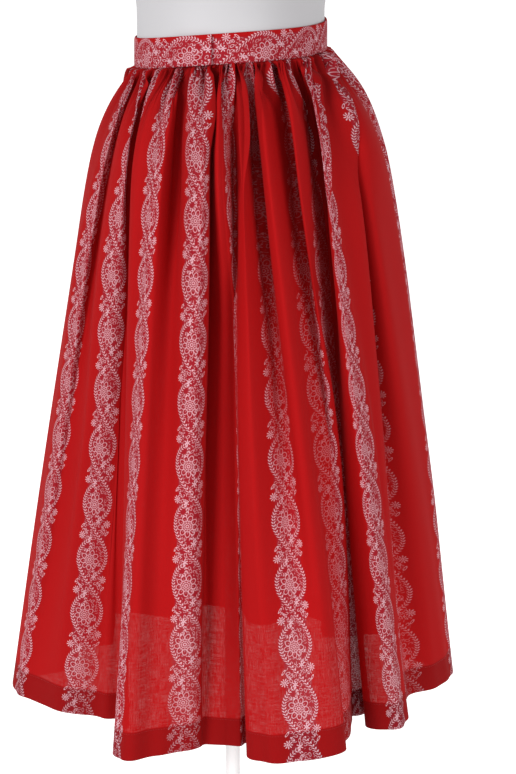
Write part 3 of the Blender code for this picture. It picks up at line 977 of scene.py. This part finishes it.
# ---- finishes ----
COTTON_RED = (0.47, 0.0048, 0.0058, 1)
COTTON_DEEP = (0.42, 0.0038, 0.0050, 1)
PRINT_PALE = (0.80, 0.50, 0.56, 1)
PRINT_TINT = (0.33, 0.018, 0.034, 1)
SHEEN_RED = (1.0, 0.30, 0.32, 1)
TUCK_SHADE = (0.09, 0.0012, 0.0020, 1)
THREAD_RED = (0.30, 0.0060, 0.0080, 1)
THREAD_DEEP = (0.22, 0.0040, 0.0060, 1)
THREAD_SHINE = (0.42, 0.020, 0.026, 1)
MILLIMETRES = 1000  # in a metre
PRINT_WANDER = 1.2  # mm
BAND_PRINT = Vector((52.0, 5.0))  # mm that the print is moved along and across the band
YARN = 0.85  # mm
YARN_STREAK = 16  # length of a thick place in a thread, in threads
WEAVE_WAVE = math.pi / 0.42  # for threads 0.42 mm apart
WEAVE_HEIGHT = 0.00018
TINT_SHARE = 0.60
HEM_SHADE_SHARE = 0.24  # how much darker the double cloth is painted, as painted shade where less light comes through
HOLLOW_SHADE_SHARE = 0.70  # how much the print dims in a deep hollow, as painted shade
TUCK_SHADE_SHARE = 0.72
GLOW_SHARE = 0.24  # how much of the light goes through the cloth
OPEN_SHARE = 0.448  # how see-through the gaps between the threads are


def weave(shader, x, y):
    """Uneven threads both ways: how thick the cloth is at a place, about 0 to 1."""
    streak = YARN * YARN_STREAK
    warp = shader.noise(shader.join(x / YARN, y / streak), 1.0, 2.0, 0.6)
    weft = shader.noise(shader.join(x / streak, y / YARN, 5.0), 1.0, 2.0, 0.6)
    return (warp + weft) * 0.5


def printed_cotton(name, along_band=False):
    """Red plain-weave cotton with pale vine stripes, slightly see-through where single, with
    painted shade in the tucks, in the hollows between the folds and on the double hem.
    """
    shader = Shader(name)
    x, y, _ = shader.split(shader.node("ShaderNodeUVMap", {"uv_map": "cloth"}))
    x = x * MILLIMETRES
    y = y * MILLIMETRES
    wander = (shader.noise(shader.join(x, y), 0.16, 1.0) - 0.5) * PRINT_WANDER
    if along_band:
        across = y + wander + BAND_PRINT.y
        along = x - BAND_PRINT.x
    else:
        stripe = (x - STRIPE_PLACE * MILLIMETRES).repeat(STRIPE_PITCH * MILLIMETRES)
        across = stripe + wander
        along = y - (PRINT_PLACE * MILLIMETRES + VINE_REPEAT / 2)
    lines, ground = vine_stripe(shader, across, along)
    # Painted shade: in the hollows between the folds, the print's tint and its pale lines fade, as
    # in deep shade.
    hollow = shader.attribute("hollow")
    threads = weave(shader, x, y)
    patches = shader.noise(shader.join(x, y * 0.4), 0.012, 3.0)
    red = shader.mix(patches, COTTON_RED, COTTON_DEEP)
    red = shader.mix(ground * TINT_SHARE * (1 - hollow), red, PRINT_TINT)
    # Painted shade: the double cloth at the hem is darkened, where less light comes through it.
    double = 1 - y.soft_under((SLANT - HEM_DEPTH) * MILLIMETRES, 0.6)
    red = shader.mix(double * HEM_SHADE_SHARE, red, BLACK)
    # The print's lines dim in the hollows: painted shade.
    ink = lines * (0.72 + threads * 0.45).least(1.0) * (1 - hollow * HOLLOW_SHADE_SHARE)
    colour = shader.mix(ink, red, PRINT_PALE)
    # Painted shade: the colour is darkened in the gathers' tucks.
    colour = shader.mix(shader.attribute("tuck_shade") * TUCK_SHADE_SHARE, colour, TUCK_SHADE)
    cross = ((x * WEAVE_WAVE).sin() * (y * WEAVE_WAVE).sin()) * 0.5 + 0.5
    normal = shader.bump(threads * 0.7 + cross * 0.3, WEAVE_HEIGHT, 0.55)
    shader.feed(shader.surface, {
        "Base Color": colour,
        "Roughness": threads * 0.2 + 0.70,
        "Normal": normal,
        "Specular IOR Level": 0.09,
        "Sheen Weight": 0.05,
        "Sheen Roughness": 0.40,
        "Sheen Tint": SHEEN_RED,
    })
    glow = shader.node("ShaderNodeBsdfTranslucent", values={"Color": colour, "Normal": normal})
    cloth = shader.layer(GLOW_SHARE, Socket(shader, shader.surface.outputs[0]), glow)
    if not along_band:
        gaps = ((0.60 - threads).most(0.0) ** 1.6) * OPEN_SHARE * (1 - lines * 0.6)
        cloth = shader.layer(gaps, cloth, shader.node("ShaderNodeBsdfTransparent"))
    shader.feed(shader.output, {"Surface": cloth})
    return shader.material


def smooth_paint(name, shade, roughness):
    """Plain paint with faint blotches and a fine grain."""
    shader = Shader(name)
    place = shader.object_place()
    blotch = shader.noise(place, 9.0, 3.0)
    speck = shader.noise(place, 900.0, 2.0)
    darker = [channel * 0.955 for channel in shade]
    shader.feed(shader.surface, {
        "Base Color": shader.mix(blotch, (*shade, 1), (*darker, 1)),
        "Roughness": blotch * 0.12 + (roughness - 0.06),
        "Normal": shader.bump(speck, 0.00004, 0.6),
        "Specular IOR Level": 0.35,
    })
    return shader.material


def sewing_thread(name):
    """Dark red polyester thread, with its twist as fine slanting ridges."""
    shader = Shader(name)
    place = shader.object_place()
    twist = shader.noise(place, 5200.0, 1.0)
    patches = shader.noise(place, 60.0, 2.0)
    dark = shader.mix(patches, THREAD_RED, THREAD_DEEP)
    shader.feed(shader.surface, {
        "Base Color": shader.mix(twist, dark, THREAD_SHINE),
        "Roughness": twist * 0.2 + 0.38,
        "Normal": shader.bump(twist, 0.00006, 0.8),
        "Specular IOR Level": 0.30,
    })
    return shader.material


# ---- stitches ----
STITCH_PITCH = 0.0028
STITCH_LENGTH = 0.0024
THREAD_WIDTH = 0.00030
STITCH_UNEVEN = (0.86, 1.04)  # least and most, in stitch lengths
STITCH_PROUD = 0.00004  # height of the thread's middle above the cloth
HEM_STITCH = 0.0016  # of the hem's stitches from its inner edge
BAND_STITCH = 0.0024  # of the band's stitches from its lower edge
HEM_TURNED = 7  # columns of points at a side seam that are turned in


def stitch_nodes():
    """Geometry Nodes that lay stitches end to end along the edges of a mesh."""
    tree = bpy.data.node_groups.new("stitches", "GeometryNodeTree")
    tree.interface.new_socket("Path", in_out="INPUT", socket_type="NodeSocketGeometry")
    for size in ("Pitch", "Length", "Width"):
        tree.interface.new_socket(size, in_out="INPUT", socket_type="NodeSocketFloat")
    tree.interface.new_socket("Thread", in_out="INPUT", socket_type="NodeSocketMaterial")
    tree.interface.new_socket("Stitches", in_out="OUTPUT", socket_type="NodeSocketGeometry")
    maker = Nodes(tree)
    given = maker.node("NodeGroupInput", out=None).outputs
    path, pitch, length, width, thread = (
        Socket(maker, given[name]) for name in ("Path", "Pitch", "Length", "Width", "Thread")
    )
    curve = maker.node("GeometryNodeMeshToCurve", values={"Mesh": path})
    points = maker.node(
        "GeometryNodeResampleCurve", {"mode": "LENGTH"}, {"Curve": curve, "Length": pitch}
    )
    way = maker.node("GeometryNodeInputTangent")
    turn = maker.node("FunctionNodeAlignRotationToVector", {"axis": "Z"}, {"Vector": way})
    least, most = STITCH_UNEVEN
    uneven = maker.node(
        "FunctionNodeRandomValue", {"data_type": "FLOAT"}, {2: least, 3: most, "Seed": SEED}, out=1
    )
    size = maker.node("ShaderNodeCombineXYZ", values={0: width, 1: width, 2: length * uneven})
    stitch = maker.node(
        "GeometryNodeMeshUVSphere", values={"Segments": 6, "Rings": 4, "Radius": 0.5}
    )
    placed = maker.node("GeometryNodeInstanceOnPoints", values={
        "Points": points, "Instance": stitch, "Rotation": turn, "Scale": size,
    })
    solid = maker.node("GeometryNodeRealizeInstances", values={"Geometry": placed})
    sewn = maker.node("GeometryNodeSetMaterial", values={"Geometry": solid, "Material": thread})
    maker.node("NodeGroupOutput", values={"Stitches": sewn}, out=None)
    return tree


def sewing_line(rows, places, place):
    """A line of points between rows of points, on the outside of the cloth."""
    row = int(np.searchsorted(places, place)) - 1
    share = (place - places[row]) / (places[row + 1] - places[row])
    line = rows[row] * (1 - share) + rows[row + 1] * share
    way = np.gradient(line[:, :2], axis=0)
    way /= np.linalg.norm(way, axis=1)[:, None]
    line[:, 0] += way[:, 1] * STITCH_PROUD
    line[:, 1] -= way[:, 0] * STITCH_PROUD
    return line


def sew(name, line, thread):
    """A row of stitches along a line of points, as one mesh."""
    path = bpy.data.meshes.new(name + "_path")
    links = np.column_stack([np.arange(len(line) - 1), np.arange(1, len(line))])
    path.from_pydata(line.tolist(), links.tolist(), [])
    row = put(name, path)
    modifier = row.modifiers.new("stitches", "NODES")
    modifier.node_group = bpy.data.node_groups.get("stitches") or stitch_nodes()
    sizes = {
        "Pitch": STITCH_PITCH, "Length": STITCH_LENGTH, "Width": THREAD_WIDTH, "Thread": thread
    }
    for item in modifier.node_group.interface.items_tree:
        if item.name in sizes:
            modifier[item.identifier] = sizes[item.name]
    bpy.context.view_layer.update()
    made = row.evaluated_get(bpy.context.evaluated_depsgraph_get())
    row_mesh = bpy.data.meshes.new_from_object(made)
    row.modifiers.remove(modifier)
    row.data = row_mesh
    row_mesh.name = name
    row_mesh.shade_smooth()
    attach(row, "root")
    return row


# ---- the skirt ----
def make_skirt(finish, thread):
    draw = np.random.default_rng(SEED)
    tucks = draw_tucks(draw)
    waves = draw_waves(draw)
    for name, node, first, last in (
        ("back_width", "skirt_back", 0.0, SIDE_SEAM),
        ("front_width", "skirt_front", SIDE_SEAM, CLOTH_ROUND),
    ):
        points, flat, tuck_shades = skirt_grid(first, last, tucks, waves)
        mesh = grid_mesh(name, points, flat)
        # Per point: the painted shade of the tucks, and how deep it lies between the folds, which
        # the finish turns into painted shade.
        for attribute, values in (("tuck_shade", tuck_shades), ("hollow", hollows(points))):
            layer = mesh.attributes.new(attribute, "FLOAT", "POINT")
            layer.data.foreach_set("value", values.astype(np.float32).ravel())
        piece = add_piece(name, mesh, finish, node)
        hanging = [
            row for row, (drop, inset) in enumerate(skirt_rows()) if drop < 1 and inset == 0
        ]
        lengths = flat[hanging, 0, 1]
        line = sewing_line(points[hanging], lengths, SLANT - HEM_DEPTH + HEM_STITCH)
        line = line[HEM_TURNED:-HEM_TURNED]
        stitches = sew(name + "_hem_stitches", line, thread)


# ---- the waistband ----
BAND_COLUMNS = 520
WAIST_LENGTH = 2 * math.pi * math.sqrt((WAIST_WIDE**2 + WAIST_DEEP**2) / 2)
RIPPLE_FADE = 1.5  # how quickly the ripples fade upwards from the gathers
RIPPLES = ((0.0066, 0.00010), (0.0105, 0.00012), (0.031, 0.00016))  # length and height of each
BAND_MIDDLE = BAND_HEIGHT / 2 + 0.001  # of its print, above the band's lower edge
# Across the band: share of its wall outwards, and of its height upwards.
BAND_SECTION = table("out up", [
    (0.1, 0.03), (0.5, 0), (0.9, 0.02), (1, 0.08), (1.04, 0.25), (1.05, 0.5), (1.04, 0.75),
    (0.98, 0.93), (0.8, 0.985), (0.5, 1), (0.2, 0.985), (0.03, 0.93), (0, 0.5), (0.02, 0.08),
])


def band_place(share, out, up):
    """Points of the band at shares of the waist, outwards from the form, one share up."""
    plan = oval(WAIST_WIDE, WAIST_DEEP, share + CLOSING_SHARE)
    away = plan / [WAIST_WIDE**2, WAIST_DEEP**2]
    plan = plan + away / np.linalg.norm(away, axis=1)[:, None] * out[:, None]
    height = WAIST_HEIGHT - BAND_HEIGHT * (1 - up) + waist_rise(plan)
    return np.column_stack([plan, height])


def make_waistband(finish, thread):
    draw = np.random.default_rng(SEED + 1)
    lap = BAND_LAP / WAIST_LENGTH
    share = np.linspace(-lap, 1, BAND_COLUMNS)
    rise = [1 - laps * lap for laps in LAP_RISE]
    lift = np.interp(share, rise, [0.0, BAND_WALL + LAP_LIFT])
    along = share * WAIST_LENGTH
    ripple = sum(
        height * np.sin(2 * math.pi * along / length + draw.uniform(0, 6.3))
        for length, height in RIPPLES
    )
    rings = []
    for edge in BAND_SECTION:
        lower = (1 - edge.up) ** RIPPLE_FADE if edge.out > 0.5 else 0.0
        out = FORM_GAP + BAND_WALL * edge.out + lift + ripple * lower
        rings.append(band_place(share, out, edge.up))
    points = np.array(rings + rings[:1])
    ups = np.array([edge.up for edge in BAND_SECTION]) * BAND_HEIGHT
    flat = np.array([
        np.column_stack([along, np.full(len(along), up - BAND_MIDDLE)])
        for up in (*ups, ups[0])
    ])
    mesh = grid_mesh("band", points[:, ::-1], flat[:, ::-1])
    bm = bmesh.new()
    bm.from_mesh(mesh)
    bmesh.ops.remove_doubles(bm, verts=bm.verts, dist=1e-6)
    bmesh.ops.holes_fill(bm, edges=[edge for edge in bm.edges if edge.is_boundary])
    bmesh.ops.recalc_face_normals(bm, faces=bm.faces)
    bm.to_mesh(mesh)
    bm.free()
    band = add_piece("band", mesh, finish, "waistband")
    outside = [row for row, edge in enumerate(BAND_SECTION) if edge.out >= 1]
    line = sewing_line(points[outside], ups[outside], BAND_STITCH)
    stitches = sew("band_stitches", line[share > 0], thread)


# ---- the dress form and its stand ----
FORM_SIDES = 128
BELLY_RINGS = 12  # rings of points in the form's rounded underside, and in the rest of it
BODY_RINGS = 120
UNDERSIDE = 3  # level at which the underside ends
TURNED_SIDES = 96
SHARP = math.radians(40)  # edges that turn by more are crisp
ROUND_SHARE = 0.45  # how much of a side a rounded corner may take
ROUND_STEPS = 4


def closed_loft(name, rings, finish, node):
    """A skin through rings of points, low to high, with fans at both ends."""
    count = len(rings[0])
    points = np.concatenate([*rings, [rings[0].mean(axis=0)], [rings[-1].mean(axis=0)]])
    low, high = len(points) - 2, len(points) - 1
    last = (len(rings) - 1) * count
    faces = []
    for column in range(count):
        following = (column + 1) % count
        faces.append((low, following, column))
        faces.append((high, last + column, last + following))
        for start in range(0, last, count):
            above = start + count
            faces.append((start + column, start + following, above + following, above + column))
    mesh = bpy.data.meshes.new(name)
    mesh.from_pydata(points.tolist(), [], faces)
    add_piece(name, mesh, finish, node)
    mesh.set_sharp_from_angle(angle=SHARP)


def make_torso(finish):
    """The dress form: rings of points whose outlines change smoothly from level to level."""
    levels, *columns = np.array(FORM_LEVELS).T
    heights = np.concatenate([
        np.linspace(levels[0], levels[UNDERSIDE], BELLY_RINGS),
        np.linspace(levels[UNDERSIDE], levels[-1], BODY_RINGS)[1:],
    ])
    angles = np.arange(FORM_SIDES) * 2 * math.pi / FORM_SIDES
    sides = np.array([np.cos(angles), np.sin(angles)])
    shapes = np.array([monotone(levels, column, heights) for column in columns]).T
    rings = []
    for height, (wide, deep, back, power) in zip(heights, shapes):
        x, y = np.sign(sides) * np.abs(sides) ** (2 / power)
        level = np.full(FORM_SIDES, WAIST_HEIGHT + height)
        rings.append(np.column_stack([wide * x, deep * y + back, level]))
    closed_loft("torso", rings, finish, "form_torso")


def rounded(corners, radius):
    """A profile with its inner corners rounded, as rows of radius and height."""
    points = np.array(corners)
    made = [points[0]]
    for before, corner, after in zip(points, points[1:], points[2:]):
        back = before - corner
        ahead = after - corner
        back_length = np.linalg.norm(back)
        ahead_length = np.linalg.norm(ahead)
        reach = min(radius, back_length * ROUND_SHARE, ahead_length * ROUND_SHARE)
        start = corner + back / back_length * reach
        end = corner + ahead / ahead_length * reach
        for share in np.linspace(0, 1, ROUND_STEPS):
            first = start + (corner - start) * share
            second = corner + (end - corner) * share
            made.append(first + (second - first) * share)
    return [*made, points[-1]]


def turned(name, profile, finish, node, back=0.0):
    """A turned piece from rows of radius and height, bottom to top."""
    angles = np.arange(TURNED_SIDES) * 2 * math.pi / TURNED_SIDES
    rings = [
        np.column_stack([
            radius * np.cos(angles),
            radius * np.sin(angles) + back,
            np.full(TURNED_SIDES, height),
        ])
        for radius, height in profile
    ]
    closed_loft(name, rings, finish, node)


def make_form(shell, cap, metal):
    make_torso(shell)
    neck = FORM_LEVELS[-1]
    low = WAIST_HEIGHT + neck.height + GAP
    dome = [(0.056, low), (0.056, low + 0.006), (0.050, low + 0.012), (0.020, low + 0.017)]
    turned("neck_cap", rounded(dome, 0.004), cap, "form_neck_cap", neck.back)
    high = WAIST_HEIGHT + FORM_LEVELS[0].height - GAP
    low = high - SOCKET_DEPTH
    cup = [(0.014, low), (0.018, low + 0.004), (0.024, high - 0.004), (0.030, high)]
    turned("socket", rounded(cup, 0.002), metal, "form_socket")
    boss = BASE_THICK + BOSS_HEIGHT
    pole = [(POLE_RADIUS, boss + GAP), (POLE_RADIUS, low - GAP)]
    turned("pole", pole, metal, "stand_pole")
    base = [
        (BASE_RADIUS - 0.002, 0.0),
        (BASE_RADIUS, 0.002),
        (BASE_RADIUS, BASE_THICK - 0.005),
        (BASE_RADIUS - 0.006, BASE_THICK),
        (0.022, BASE_THICK + 0.004),
        (0.014, BASE_THICK + 0.012),
        (0.012, boss),
    ]
    turned("base", rounded(base, 0.003), metal, "stand_base")


# ---- the whole ----
place_camera()
light_studio()
lay_floor()
bpy.context.scene.view_settings.view_transform = "Standard"
make_form(
    smooth_paint("grey_form", (0.50, 0.49, 0.505), 0.55),
    smooth_paint("grey_cap", (0.70, 0.69, 0.71), 0.45),
    smooth_paint("white_metal", (0.95, 0.95, 0.95), 0.45),
)
red_thread = sewing_thread("red_thread")
make_skirt(printed_cotton("printed_cotton"), red_thread)
make_waistband(printed_cotton("band_cotton", along_band=True), red_thread)
